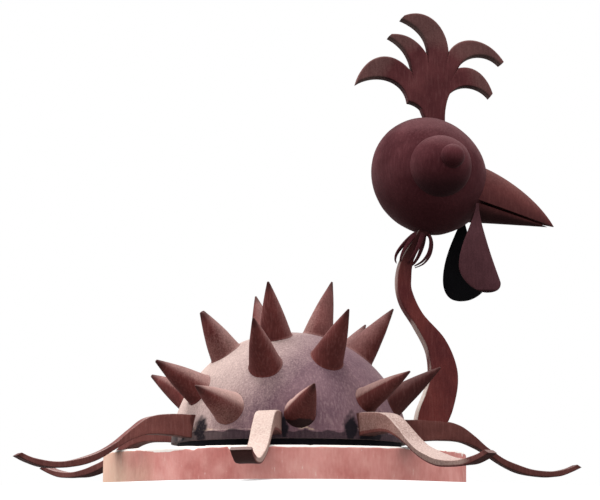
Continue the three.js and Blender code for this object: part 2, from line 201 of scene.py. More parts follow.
# Each wattle's side, its top's place on the head, and its back and front edges down from that top, each as
# two Bezier curves with (forward, up) control points.
WATTLES = {
    "wattle_right": {
        "side": 1, "forward": 217, "up": -196,
        "back": [
            [(-8, 0), (-30, -90), (-95, -190), (-95, -291)],
            [(-95, -291), (-95, -350), (-30, -427), (50, -427)],
        ],
        "front": [
            [(10, 0), (22, -130), (108, -335), (119, -375)],
            [(119, -375), (122, -410), (95, -427), (50, -427)],
        ],
    },
    "wattle_left": {
        "side": -1, "forward": 208, "up": -208,
        "back": [
            [(-8, 0), (-45, -90), (-105, -200), (-110, -310)],
            [(-110, -310), (-114, -385), (-75, -426), (-20, -426)],
        ],
        "front": [
            [(10, 0), (35, -110), (105, -280), (116, -335)],
            [(116, -335), (112, -385), (40, -426), (-20, -426)],
        ],
    },
}

# Name, strength, angular size and direction of each light.
LIGHTS = [
    ("high_sun", 2.2, 30, (0.25, -0.05, -0.97)),
    ("left_light", 0.65, 25, (0.9, -0.3, -0.3)),
]
# The sky's strength, and what it dims to between two heights of its unit sphere.
SKY = {"strength": 1, "below": 0.25, "dims_from": -0.15, "dims_to": -0.5}
# In metres: the floor lies a hair below the plinth, level out to a radius, and falls away at a slope outside.
FLOOR = {"level_to": 0.9, "slope": 0.05, "gap": 0.0005, "colour": "f2f2f2"}
CAMERA = {"place": (52, -10000, -313), "aim": (52, 0, 1180.5), "lens": 120, "sensor": 36, "clip_end": 200}


# Shapes as whole arrays of points

def stack(rings):
    """A closed skin over a stack of closed rings. Neighbouring rings are joined by four-sided faces and
    each end by a fan round the middle of its ring; the sign of the volume turns the faces outwards."""
    rows, columns = rings.shape[:2]
    points = np.concatenate([rings.reshape(-1, 3), rings[:1].mean(1), rings[-1:].mean(1)])
    here = np.arange(rows * columns).reshape(rows, columns)
    ahead = np.roll(here, -1, axis=1)
    quads = np.stack([here[:-1], ahead[:-1], ahead[1:], here[1:]], axis=-1).reshape(-1, 4)
    first = np.stack([ahead[0], here[0], np.full(columns, rows * columns)], axis=-1)
    last = np.stack([here[-1], ahead[-1], np.full(columns, rows * columns + 1)], axis=-1)
    fans = np.concatenate([first, last])
    corners = np.concatenate([quads[:, [0, 1, 2]], quads[:, [0, 2, 3]], fans])
    a, b, c = points[corners[:, 0]], points[corners[:, 1]], points[corners[:, 2]]
    if np.sum(a * np.cross(b, c)) < 0:
        quads, fans = quads[:, ::-1], fans[:, ::-1]
    return points, quads, fans


def ripple(points, size, seed, waves=9):
    """An uneven field of about -1 to 1: sine waves of about the given length in random directions, added up.
    The seed picks the field."""
    draw = np.random.default_rng(seed)
    directions = draw.normal(size=(3, waves))
    directions /= np.linalg.norm(directions, axis=0)
    lengths = size * draw.uniform(0.7, 1.4, waves)
    phases = draw.uniform(0, 2 * np.pi, waves)
    return np.sin(points @ (directions * 2 * np.pi / lengths) + phases).sum(-1) / math.sqrt(waves)


def smooth_step(values, low, high):
    """0 below low, 1 above high, and a cubic ease between them."""
    t = np.clip((values - low) / (high - low), 0, 1)
    return t * t * (3 - 2 * t)


def turn(points, axis, degrees):
    """Points turned about the X, Y or Z axis by the right-hand rule."""
    c, s = math.cos(math.radians(degrees)), math.sin(math.radians(degrees))
    matrix = {
        "X": [(1, 0, 0), (0, c, -s), (0, s, c)],
        "Y": [(c, 0, s), (0, 1, 0), (-s, 0, c)],
        "Z": [(c, -s, 0), (s, c, 0), (0, 0, 1)],
    }[axis]
    return points @ np.array(matrix).T


def spline(points, steps=12):
    """A Catmull-Rom curve: each span is the cubic that passes its ends along their neighbours' chord."""
    p = np.array(points, float)
    p = np.concatenate([p[:1], p, p[-1:]])
    before, start, end, after = p[:-3, None], p[1:-2, None], p[2:-1, None], p[3:, None]
    t = np.linspace(0, 1, steps, endpoint=False)[None, :, None]
    leave, reach = (end - before) / 2, (after - start) / 2
    cubic = (2 * start - 2 * end + leave + reach) * t**3
    square = (3 * end - 3 * start - 2 * leave - reach) * t**2
    curve = cubic + square + leave * t + start
    return np.concatenate([curve.reshape(-1, p.shape[1]), p[-1:]])


def bezier(*controls, steps=24):
    """A Bezier curve: its control points blended in pairs, again and again, until one is left."""
    t = np.linspace(0, 1, steps)[:, None, None]
    level = np.array(controls, float)[None]
    while level.shape[1] > 1:
        level = level[:, :-1] * (1 - t) + level[:, 1:] * t
    return level[:, 0]


def evenly(curve, count):
    """The same curve as points spaced evenly along its length."""
    travelled = np.concatenate([[0], np.cumsum(np.linalg.norm(np.diff(curve, axis=0), axis=1))])
    places = np.linspace(0, travelled[-1], count)
    return np.stack([np.interp(places, travelled, line) for line in curve.T], axis=1)


def rounded_sections(width, heights, rounding, corner_steps, side_steps):
    """Rectangles with quarter-circle corners, one per height, as (across, rise) rings round their middle.
    A corner is its circle's centre plus the rounding times cosine and sine; the sides are straight."""
    r = np.minimum(rounding, 0.45 * np.minimum(heights, width))[:, None, None]
    quarter = np.linspace(0, np.pi / 2, corner_steps)
    angles = (np.arange(4)[:, None] * np.pi / 2 + quarter)[None]
    across_sign = np.array([1, -1, -1, 1])[None, :, None]
    rise_sign = np.array([1, 1, -1, -1])[None, :, None]
    across = across_sign * (width / 2 - r) + r * np.cos(angles)
    rise = rise_sign * (heights[:, None, None] / 2 - r) + r * np.sin(angles)
    corners = np.stack([across, rise], axis=-1)
    ends, starts = corners[:, :, -1:], np.roll(corners, -1, axis=1)[:, :, :1]
    share = np.linspace(0, 1, side_steps + 2)[1:-1][None, None, :, None]
    sides = ends * (1 - share) + starts * share
    return np.concatenate([corners, sides], axis=2).reshape(len(heights), -1, 2)


def bar(one_edge, other_edge, width, rounding, corner_steps=4, side_steps=3):
    """A bar cut from plate, upright along X: at each place its section is a rounded rectangle, as high as
    the gap between its two edges, which are (along, up) curves, and as wide as the plate is thick."""
    gap = other_edge - one_edge
    heights = np.maximum(np.linalg.norm(gap, axis=1), 2)
    rise_way = gap / heights[:, None]
    section = rounded_sections(width, heights, rounding, corner_steps, side_steps)
    middle = (one_edge + other_edge) / 2
    flat = middle[:, None] + rise_way[:, None] * section[:, :, 1:]
    return np.stack([flat[..., 0], section[..., 0], flat[..., 1]], axis=-1)


def revolve(profile, steps, origin=(0, 0, 0), axis=(0, 0, 1)):
    """A profile of (radius, height) points turned round an axis through the origin point."""
    along = np.array(axis, float) / np.linalg.norm(axis)
    helper = np.eye(3)[np.argmin(np.abs(along))]
    out = np.cross(helper, along)
    out /= np.linalg.norm(out)
    side = np.cross(along, out)
    angles = np.linspace(0, 2 * np.pi, steps, endpoint=False)[:, None]
    circle = np.cos(angles) * out + np.sin(angles) * side
    profile = np.array(profile, float)
    return np.array(origin, float) + profile[:, :1, None] * circle + profile[:, 1:, None] * along


def direction(azimuth, elevation):
    """The unit vector at an azimuth and an elevation."""
    a, e = math.radians(azimuth), math.radians(elevation)
    return np.array([math.cos(e) * math.cos(a), math.cos(e) * math.sin(a), math.sin(e)])


def on_head(forward, right, up):
    """A point counted from the centre of the head, in the frame that faces +X."""
    return np.array([HEAD["forward"] + forward, -right, HEAD["height"] + up], float)


# Materials

def linear(hex_colour):
    """An sRGB hex colour as linear light."""
    parts = [int(hex_colour[k:k + 2], 16) / 255 for k in (0, 2, 4)]
    return [p / 12.92 if p <= 0.04045 else ((p + 0.055) / 1.055) ** 2.4 for p in parts] + [1]


def node(tree, kind, inputs=None, **settings):
    """Adds one node: the settings are its properties, and each input is a value or a socket to link from.
    Inputs 0 to 4 of a Map Range are the value, the range it is read from and the range it is put into; 0, 6
    and 7 of a colour Mix are the share and the two colours."""
    made = tree.nodes.new(kind)
    for name, value in settings.items():
        setattr(made, name, value)
    for name, value in (inputs or {}).items():
        if isinstance(value, bpy.types.NodeSocket):
            tree.links.new(value, made.inputs[name])
        else:
            made.inputs[name].default_value = value
    return made


def new_material(name):
    """An empty node material with its shader joined to the output."""
    material = bpy.data.materials.new(name)
    material.use_nodes = True
    tree = material.node_tree
    tree.nodes.clear()
    shader = node(tree, "ShaderNodeBsdfPrincipled")
    node(tree, "ShaderNodeOutputMaterial", {"Surface": shader.outputs[0]})
    return material, tree, shader


def coat(share, under, hex_colour):
    """Lays a colour over what is there by its share of the surface, in the share's own node tree."""
    mix = node(share.id_data, "ShaderNodeMix", {0: share, 6: under, 7: linear(hex_colour)}, data_type="RGBA")
    return mix.outputs[2]


def rusted_steel(name, look):
    """Weathering steel left to rust outdoors: a tight brown oxide skin, matt and finely grained. Rain washes
    streaks down it, dust and painted light pale the side it faces most, and painted shade darkens the
    undersides."""
    look = {**USUAL_LOOK, **look}
    material, tree, shader = new_material(name)
    coords = node(tree, "ShaderNodeTexCoord").outputs["Object"]
    normal = node(tree, "ShaderNodeNewGeometry").outputs["Normal"]
    up = node(tree, "ShaderNodeSeparateXYZ", {0: normal}).outputs["Z"]
    light_and_weather_side = node(
        tree, "ShaderNodeVectorMath", {0: normal, 1: look["light_and_weather_side"]}, operation="DOT_PRODUCT"
    ).outputs["Value"]
    # Rust blooms are about 150 mm across, and the oxide grain is drawn at 7 mm, coarser than it is.
    bloom = node(tree, "ShaderNodeTexNoise", {"Vector": coords, "Scale": 1 / 0.15, "Detail": 5}).outputs[0]
    grain = node(tree, "ShaderNodeTexNoise", {"Vector": coords, "Scale": 1 / 0.007, "Detail": 3}).outputs[0]
    # Rain streaks are about 9 mm wide and 60 mm long.
    stretched = node(tree, "ShaderNodeMapping", {"Vector": coords, "Scale": (1 / 0.009, 1 / 0.009, 1 / 0.06)})
    rain = node(
        tree, "ShaderNodeTexNoise", {"Vector": stretched.outputs[0], "Scale": 1, "Detail": 3}
    ).outputs[0]

    patch = node(tree, "ShaderNodeMapRange", {0: bloom, 1: 0.36, 2: 0.64}).outputs[0]
    colour = coat(patch, linear(look["deep"]), look["body"])
    streak = node(tree, "ShaderNodeMapRange", {0: rain, 1: 0.5, 2: 0.72, 4: look["streaks"]}).outputs[0]
    colour = coat(streak, colour, look["dust_and_highlight"])
    # Dust and painted light: faces that look towards the side direction are paled.
    uneven = node(tree, "ShaderNodeMath", {0: grain, 1: 0.3, 2: light_and_weather_side}, operation="MULTIPLY_ADD").outputs[0]
    low, high = look["dust_and_light_facing"]
    dust_and_painted_light = node(
        tree, "ShaderNodeMapRange", {0: uneven, 1: low + 0.15, 2: high + 0.15, 4: look["dust_and_light_cover"]}
    ).outputs[0]
    colour = coat(dust_and_painted_light, colour, look["dust_and_highlight"])
    # Painted shade: faces that look downwards are darkened towards the shade colour.
    painted_underside_shade = node(tree, "ShaderNodeMapRange", {0: up, 1: 0.2, 2: -0.7, 4: look["underside_shade_share"]}).outputs[0]
    colour = coat(painted_underside_shade, colour, look["shade"])
    # Pale marks: bleach and dust, and painted highlight on faces towards the light.
    chalk_and_highlight = node(tree, "ShaderNodeAttribute", attribute_name="chalk_and_highlight").outputs["Fac"]
    paled = node(tree, "ShaderNodeMath", {0: grain, 1: 0.2, 2: chalk_and_highlight}, operation="MULTIPLY_ADD").outputs[0]
    paled = node(tree, "ShaderNodeMapRange", {0: paled, 1: 0.3, 2: 1}).outputs[0]
    colour = coat(paled, colour, look["chalk_and_highlight"])
    # Dark marks: soot at welds and tips, and painted shade and shadow.
    grime_and_shade = node(tree, "ShaderNodeAttribute", attribute_name="grime_and_shade").outputs["Fac"]
    ragged = node(tree, "ShaderNodeMath", {0: grain, 1: 0.4, 2: grime_and_shade}, operation="MULTIPLY_ADD").outputs[0]
    darkened = node(tree, "ShaderNodeMapRange", {0: ragged, 1: 0.35, 2: 1.1}).outputs[0]
    colour = coat(darkened, colour, look["soot_and_shade"])
    mottle = node(tree, "ShaderNodeMath", {0: grain, 1: rain}, operation="ADD").outputs[0]
    fleck = node(tree, "ShaderNodeMapRange", {0: mottle, 1: 0.65, 2: 1.35, 3: 0.25, 4: 0.75}).outputs[0]
    colour = node(
        tree, "ShaderNodeMix", {0: look["grain"], 6: colour, 7: fleck}, data_type="RGBA", blend_type="OVERLAY"
    ).outputs[2]
    rough = node(tree, "ShaderNodeMapRange", {0: bloom, 1: 0.3, 2: 0.7, 3: 0.9, 4: 0.72}).outputs[0]
    bump = node(tree, "ShaderNodeBump", {"Height": mottle, "Strength": 0.25, "Distance": 0.003}).outputs[0]
    tree.links.new(colour, shader.inputs["Base Color"])
    tree.links.new(rough, shader.inputs["Roughness"])
    tree.links.new(bump, shader.inputs["Normal"])
    shader.inputs["Specular IOR Level"].default_value = look["gloss"]
    shader.inputs["Sheen Weight"].default_value = look["sheen"]
    shader.inputs["Sheen Roughness"].default_value = 0.35
    shader.inputs["Sheen Tint"].default_value = linear(look["dust_and_highlight"])
    return material


def painted_masonry(name, look):
    """Old pink masonry paint on a drum: chalky and matt, streaked by rain, scratched pale, flaked to the
    white ground coat along the top edge, yellowed and paled with painted light towards its left end, browner
    where rust has run on to it, and darker with a painted arm shadow and painted shade under the dome."""
    material, tree, shader = new_material(name)
    coords = node(tree, "ShaderNodeTexCoord").outputs["Object"]
    # Faded patches are about 220 mm across, and the grit under the paint is drawn at 12 mm.
    broad = node(tree, "ShaderNodeTexNoise", {"Vector": coords, "Scale": 1 / 0.22, "Detail": 5}).outputs[0]
    grit = node(tree, "ShaderNodeTexNoise", {"Vector": coords, "Scale": 1 / 0.012, "Detail": 3}).outputs[0]
    # Washed runs are about 60 mm wide and 90 mm long, scratches about 11 mm wide and 40 mm long.
    runs_map = node(tree, "ShaderNodeMapping", {"Vector": coords, "Scale": (1 / 0.06, 1 / 0.06, 1 / 0.09)})
    runs = node(
        tree, "ShaderNodeTexNoise", {"Vector": runs_map.outputs[0], "Scale": 1, "Detail": 4}
    ).outputs[0]
    cuts_map = node(tree, "ShaderNodeMapping", {"Vector": coords, "Scale": (1 / 0.011, 1 / 0.011, 1 / 0.04)})
    cuts = node(
        tree, "ShaderNodeTexNoise", {"Vector": cuts_map.outputs[0], "Scale": 1, "Detail": 2}
    ).outputs[0]

    patch = node(tree, "ShaderNodeMapRange", {0: broad, 1: 0.36, 2: 0.64}).outputs[0]
    colour = coat(patch, linear(look["deep"]), look["body"])
    washed = node(tree, "ShaderNodeMapRange", {0: runs, 1: 0.45, 2: 0.75, 4: 0.45}).outputs[0]
    colour = coat(washed, colour, look["washed"])
    # Yellowed paint and painted light towards the left end.
    sallow_and_light = node(tree, "ShaderNodeAttribute", attribute_name="sallow_and_light").outputs["Fac"]
    colour = coat(sallow_and_light, colour, look["sallow_and_light"])
    scratched = node(tree, "ShaderNodeMapRange", {0: cuts, 1: 0.71, 2: 0.79, 4: 0.55}).outputs[0]
    colour = coat(scratched, colour, look["scratched"])
    grime_and_shade = node(tree, "ShaderNodeAttribute", attribute_name="grime_and_shade").outputs["Fac"]
    # Rust stain, a painted shadow of an arm, and painted shade on the top under the dome.
    stain_and_shadow = node(tree, "ShaderNodeMath", {0: grime_and_shade, 1: runs}, operation="MULTIPLY").outputs[0]
    stain_and_shadow = node(tree, "ShaderNodeMapRange", {0: stain_and_shadow, 1: 0.05, 2: 0.6, 4: 0.8}).outputs[0]
    colour = coat(stain_and_shadow, colour, look["stain_and_shadow"])
    bare = node(tree, "ShaderNodeAttribute", attribute_name="bare").outputs["Fac"]
    flaked = node(tree, "ShaderNodeMath", {0: grit, 1: 0.5, 2: bare}, operation="MULTIPLY_ADD").outputs[0]
    flaked = node(tree, "ShaderNodeMapRange", {0: flaked, 1: 0.6, 2: 0.8}).outputs[0]
    colour = coat(flaked, colour, look["ground_coat"])
    fleck = node(tree, "ShaderNodeMapRange", {0: cuts, 1: 0.3, 2: 0.7, 3: 0.3, 4: 0.7}).outputs[0]
    colour = node(
        tree, "ShaderNodeMix", {0: look["grain"], 6: colour, 7: fleck}, data_type="RGBA", blend_type="OVERLAY"
    ).outputs[2]
    bump = node(tree, "ShaderNodeBump", {"Height": grit, "Strength": 0.3, "Distance": 0.003}).outputs[0]
    tree.links.new(colour, shader.inputs["Base Color"])
    tree.links.new(bump, shader.inputs["Normal"])
    shader.inputs["Roughness"].default_value = 0.9
    shader.inputs["Specular IOR Level"].default_value = look["gloss"]
    return material


# Colours of the oxide and of what lies on it, the shares of each, and the gloss. The side direction points
# to the side that is dusted and paled with painted light most, and the facing pair says how squarely a face
# has to look that way. The shade colour is painted shade on the faces that look down.
USUAL_LOOK = {"soot_and_shade": "08070a", "underside_shade_share": 0.85, "grain": 0.3, "gloss": 0.1}
LOOKS = {
    "dome": {
        "deep": "6c515b", "body": "7d6068", "dust_and_highlight": "cdb5ac", "shade": "4a343c", "soot_and_shade": "17121a",
        "chalk_and_highlight": "c9ad9a", "light_and_weather_side": (-0.72, -0.05, 0.69), "dust_and_light_facing": (0.36, 1.0), "dust_and_light_cover": 0.95,
        "streaks": 0.12, "underside_shade_share": 0.5, "grain": 0.4, "gloss": 0.15, "sheen": 0.2,
    },
    "spike": {
        "deep": "582927", "body": "6e3734", "dust_and_highlight": "9c7874", "shade": "351917", "soot_and_shade": "241515",
        "chalk_and_highlight": "c6a29a", "light_and_weather_side": (0.3, -0.05, 0.95), "dust_and_light_facing": (0.05, 0.9), "dust_and_light_cover": 0.75,
        "streaks": 0.15, "underside_shade_share": 0.6, "grain": 0.4, "gloss": 0.12, "sheen": 0.12,
    },
    "arm": {
        "deep": "663a37", "body": "7c4a45", "dust_and_highlight": "b59c97", "shade": "351e1d", "soot_and_shade": "40201c",
        "chalk_and_highlight": "e2cabd", "light_and_weather_side": (0, -0.5, 0.866), "dust_and_light_facing": (0.84, 0.97), "dust_and_light_cover": 0.95,
        "streaks": 0.05, "underside_shade_share": 0.75, "grain": 0.35, "gloss": 0.12, "sheen": 0.08,
    },
    "bird": {
        "deep": "461d22", "body": "56282d", "dust_and_highlight": "7f5e60", "shade": "2a0d10", "chalk_and_highlight": "d8c4b4",
        "light_and_weather_side": (0.25, 0.15, 0.95), "dust_and_light_facing": (0.35, 1.15), "dust_and_light_cover": 0.6,
        "streaks": 0.08, "grain": 0.35, "sheen": 0.3,
    },
    "comb": {
        "deep": "5a2c2f", "body": "6b383a", "dust_and_highlight": "86645f", "shade": "1c0e0f", "chalk_and_highlight": "7d6a63",
        "light_and_weather_side": (-0.1, 0, 0.99), "dust_and_light_facing": (0.1, 0.9), "dust_and_light_cover": 0.6,
        "streaks": 0.15, "sheen": 0.2,
    },
    "beak": {
        "deep": "54292a", "body": "683836", "dust_and_highlight": "86615c", "shade": "1c0d0e", "chalk_and_highlight": "d8c4b4",
        "light_and_weather_side": (0.25, 0.15, 0.95), "dust_and_light_facing": (0.25, 1.15), "dust_and_light_cover": 0.6,
        "streaks": 0.08, "sheen": 0.15,
    },
    "wattle": {
        "deep": "48262b", "body": "552f34", "dust_and_highlight": "745158", "shade": "1c0e10", "chalk_and_highlight": "8d6d6c",
        "light_and_weather_side": (0, -0.7, 0.7), "dust_and_light_facing": (0.4, 1.1), "dust_and_light_cover": 0.5,
        "streaks": 0.05, "underside_shade_share": 0.8, "sheen": 0.15,
    },
    "neck": {
        "deep": "5b292a", "body": "6f3431", "dust_and_highlight": "8c6560", "shade": "301617", "soot_and_shade": "0d0a0c",
        "chalk_and_highlight": "f3e6da", "light_and_weather_side": (-0.6, 0, 0.8), "dust_and_light_facing": (0.3, 1.0), "dust_and_light_cover": 0.6,
        "streaks": 0.1, "underside_shade_share": 0.6, "sheen": 0.1,
    },
    # The foot ring is near black: painted shade under the dome.
    "ring": {
        "deep": "09090e", "body": "111018", "dust_and_highlight": "25222a", "shade": "050508", "soot_and_shade": "050508",
        "chalk_and_highlight": "3a3536", "light_and_weather_side": (0, 0, 1), "dust_and_light_facing": (0.3, 1.2), "dust_and_light_cover": 0.5,
        "streaks": 0.1, "underside_shade_share": 0.5, "sheen": 0.02,
    },
}
# The stained colour serves a rust stain, a painted shadow and painted shade; the sallow colour serves
# yellowed paint and painted light.
PAINT_LOOK = {
    "deep": "c87a73", "body": "e6a199", "washed": "ecb0a6", "sallow_and_light": "e3c0a7", "scratched": "f6ddd2",
    "stain_and_shadow": "6b423b", "ground_coat": "f4ebe4", "grain": 0.2, "gloss": 0.2,
}

DOME_STEEL = rusted_steel("dusty_and_highlit_weathering_steel", LOOKS["dome"])
SPIKE_STEEL = rusted_steel("red_weathering_steel", LOOKS["spike"])
ARM_STEEL = rusted_steel("bleached_and_highlit_weathering_steel", LOOKS["arm"])
BIRD_STEEL = rusted_steel("dark_weathering_steel", LOOKS["bird"])
COMB_STEEL = rusted_steel("mauve_weathering_steel", LOOKS["comb"])
BEAK_STEEL = rusted_steel("warm_weathering_steel", LOOKS["beak"])
WATTLE_STEEL = rusted_steel("rubbed_weathering_steel", LOOKS["wattle"])
NECK_STEEL = rusted_steel("brown_weathering_steel", LOOKS["neck"])
RING_SHADOW_BLACK = rusted_steel("near_black_shadow_steel", LOOKS["ring"])
PLINTH_PAINT = painted_masonry("flaking_pink_masonry_paint", PAINT_LOOK)


# Pieces

def piece(node_name, shells, material, sharp_angle=35, marks=None):
    """One mesh of one or more closed skins that stands for a CAD node. Each mark is a function of the points
    that gives a value from 0 to 1, kept with the mesh for the material to read."""
    counts = np.cumsum([0] + [len(shell[0]) for shell in shells])
    points = np.concatenate([shell[0] for shell in shells])
    quads = np.concatenate([shell[1] + start for shell, start in zip(shells, counts)])
    fans = np.concatenate([shell[2] + start for shell, start in zip(shells, counts)])
    loops = np.concatenate([quads.ravel(), fans.ravel()]).astype(np.int32)
    sizes = np.concatenate([np.full(len(quads), 4), np.full(len(fans), 3)]).astype(np.int32)
    starts = (np.cumsum(sizes) - sizes).astype(np.int32)
    mesh = bpy.data.meshes.new(node_name + "_skin")
    mesh.vertices.add(len(points))
    mesh.vertices.foreach_set("co", (points * MM).astype(np.float32).ravel())
    mesh.loops.add(len(loops))
    mesh.loops.foreach_set("vertex_index", loops)
    mesh.polygons.add(len(sizes))
    mesh.polygons.foreach_set("loop_start", starts)
    mesh.update(calc_edges=True)
    mesh.polygons.foreach_set("use_smooth", np.ones(len(sizes), bool))
    mesh.set_sharp_from_angle(angle=math.radians(sharp_angle))
    for name, mark in (marks or {}).items():
        values = np.clip(mark(points), 0, 1).astype(np.float32)
        mesh.attributes.new(name, "FLOAT", "POINT").data.foreach_set("value", values)
    mesh.materials.append(material)
    mesh.validate()
    made = bpy.data.objects.new(node_name + "_skin", mesh)
    bpy.context.scene.collection.objects.link(made)
    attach(made, "root")
    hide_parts(node_name)


def bird_piece(node_name, stacks, material, sharp_angle=35, marks=None):
    """A piece of the neck or head, from stacks of rings that face +X, turned to the way the bird faces."""
    shells = [stack(turn(rings, "Z", HEADING)) for rings in stacks]
    piece(node_name, shells, material, sharp_angle, marks)


def with_ends(values, first=0, last=0):
    """Values on the rings of a stack as one list, followed by those of the middles of its two ends."""
    return np.concatenate([values.ravel(), [first, last]])


def distance_to(points, places):
    """Each point's distance to the nearest of a few places."""
    return np.linalg.norm(points[:, None] - np.array(places, float)[None], axis=2).min(1)


def arm_azimuth(index):
    """The azimuth of an arm's root; the arms share the circle evenly but for their shifts."""
    return HEADING + 360 * index / len(ARMS) + ARMS[index].get("shift", 0)


def make_plinth():
    """A drum turned from its edge profile. Where the uneven field is high along the top edge, chips take the
    edge inwards and down."""
    radius, height, edge = PLINTH["radius"], PLINTH["height"], PLINTH["edge_round"]
    rows = PLINTH["rows"]
    wall = np.stack([np.full(rows, radius), np.linspace(0, height - edge, rows)], axis=1)
    bend = np.linspace(0, np.pi / 2, 8)[1:]
    lip = np.stack([radius - edge + edge * np.cos(bend), height - edge + edge * np.sin(bend)], axis=1)
    top = np.stack([np.linspace(radius - edge, 2, rows)[1:], np.full(rows - 1, height)], axis=1)
    profile = np.concatenate([[(2, 0), (radius - 3, 0)], wall, lip, top])
    rings = revolve(profile, PLINTH["steps_round"])
    field = ripple(rings, 130, 5) + 0.6 * ripple(rings, 45, 6)
    reach = np.linalg.norm(rings[..., :2], axis=-1, keepdims=True)
    high_up = smooth_step(rings[..., 2], height - 34, height - 6)
    near_edge = high_up * smooth_step(reach[..., 0], radius - 40, radius - 15)
    flaky = direction(PLINTH["flaked_azimuth"], 0) * radius + (0, 0, height)
    towards_flakes = smooth_step(-np.linalg.norm(rings - flaky, axis=-1), -900, -250)
    chip = smooth_step(field + 0.6 * towards_flakes, 1.2, 2.1) * near_edge
    dents = PLINTH["dent"] * ripple(rings, 90, 8) * smooth_step(reach[..., 0], radius - 200, radius - 10)
    outward = rings * (1, 1, 0) / np.maximum(reach, 1)
    rings = rings + outward * (dents - PLINTH["chip_in"] * chip - PLINTH["skin_inset"])[..., None]
    rings[..., 2] -= PLINTH["chip_down"] * chip
    rings[..., 2] = np.clip(rings[..., 2], 0, height)
    rings[..., 0] += PLINTH["offset"]
    chipped = with_ends(chip, last=1)

    def bare(points):
        """Flaked paint: above an uneven line near the top edge, lower at the flaked place, and in chips."""
        away = distance_to(points, [flaky]) / PLINTH["flaked_reach"]
        deeper = PLINTH["flaked_depth"] * np.exp(-(away**2))
        uneven = 2 * ripple(points, 110, 9) + 0.8 * ripple(points, 35, 10) + deeper
        return smooth_step(points[:, 2] + uneven, height - 13, height - 6) + 2 * chipped

    def grime_and_shade(points):
        """A bell curve round each dark mark, one a rust stain and one a painted shadow of an arm, and painted
        shade on the top in the shade of the dome.
        """
        taller = np.array([1, 1, 0.6])
        stains_and_shadows = np.zeros(len(points))
        for azimuth, level, size, strength in PLINTH_STAINS_AND_SHADOWS:
            middle = direction(azimuth, 0) * radius + (0, 0, level)
            dark_patch = strength * np.exp(-((distance_to(points * taller, [middle * taller]) / size) ** 2))
            stains_and_shadows = np.maximum(stains_and_shadows, dark_patch)
        inside = smooth_step(-np.linalg.norm(points[:, :2], axis=1), -700, -FOOT_RING["radius"])
        return np.maximum(stains_and_shadows, PLINTH["shade_inside"] * inside * (points[:, 2] > height - 6))

    def sallow_and_light(points):
        """Yellowed paint and painted light: eases in towards the left end and fades out behind."""
        leftward = smooth_step(-points[:, 0] + 60 * ripple(points, 200, 11), 560, 900)
        return PLINTH["sallow_and_light"] * leftward * smooth_step(-points[:, 1], -320, 0)

    marks = {"bare": bare, "grime_and_shade": grime_and_shade, "sallow_and_light": sallow_and_light}
    piece("plinth", [stack(rings)], PLINTH_PAINT, 40, marks)


def make_foot_ring():
    """A short drum, slightly waisted, turned from its profile, painted near black to stand in for the shade
    under the dome.
    """
    radius, bottom, top = FOOT_RING["radius"], FOOT_RING["bottom"], FOOT_RING["top"]
    levels = np.linspace(0, 1, 8)
    waisted = radius - FOOT_RING["waist"] * np.sin(np.pi * levels)
    wall = np.stack([waisted, bottom + (top - bottom) * levels], axis=1)
    profile = np.concatenate([[(2, bottom)], wall, [(2, top)]])
    piece("base_ring", [stack(revolve(profile, 180))], RING_SHADOW_BLACK)


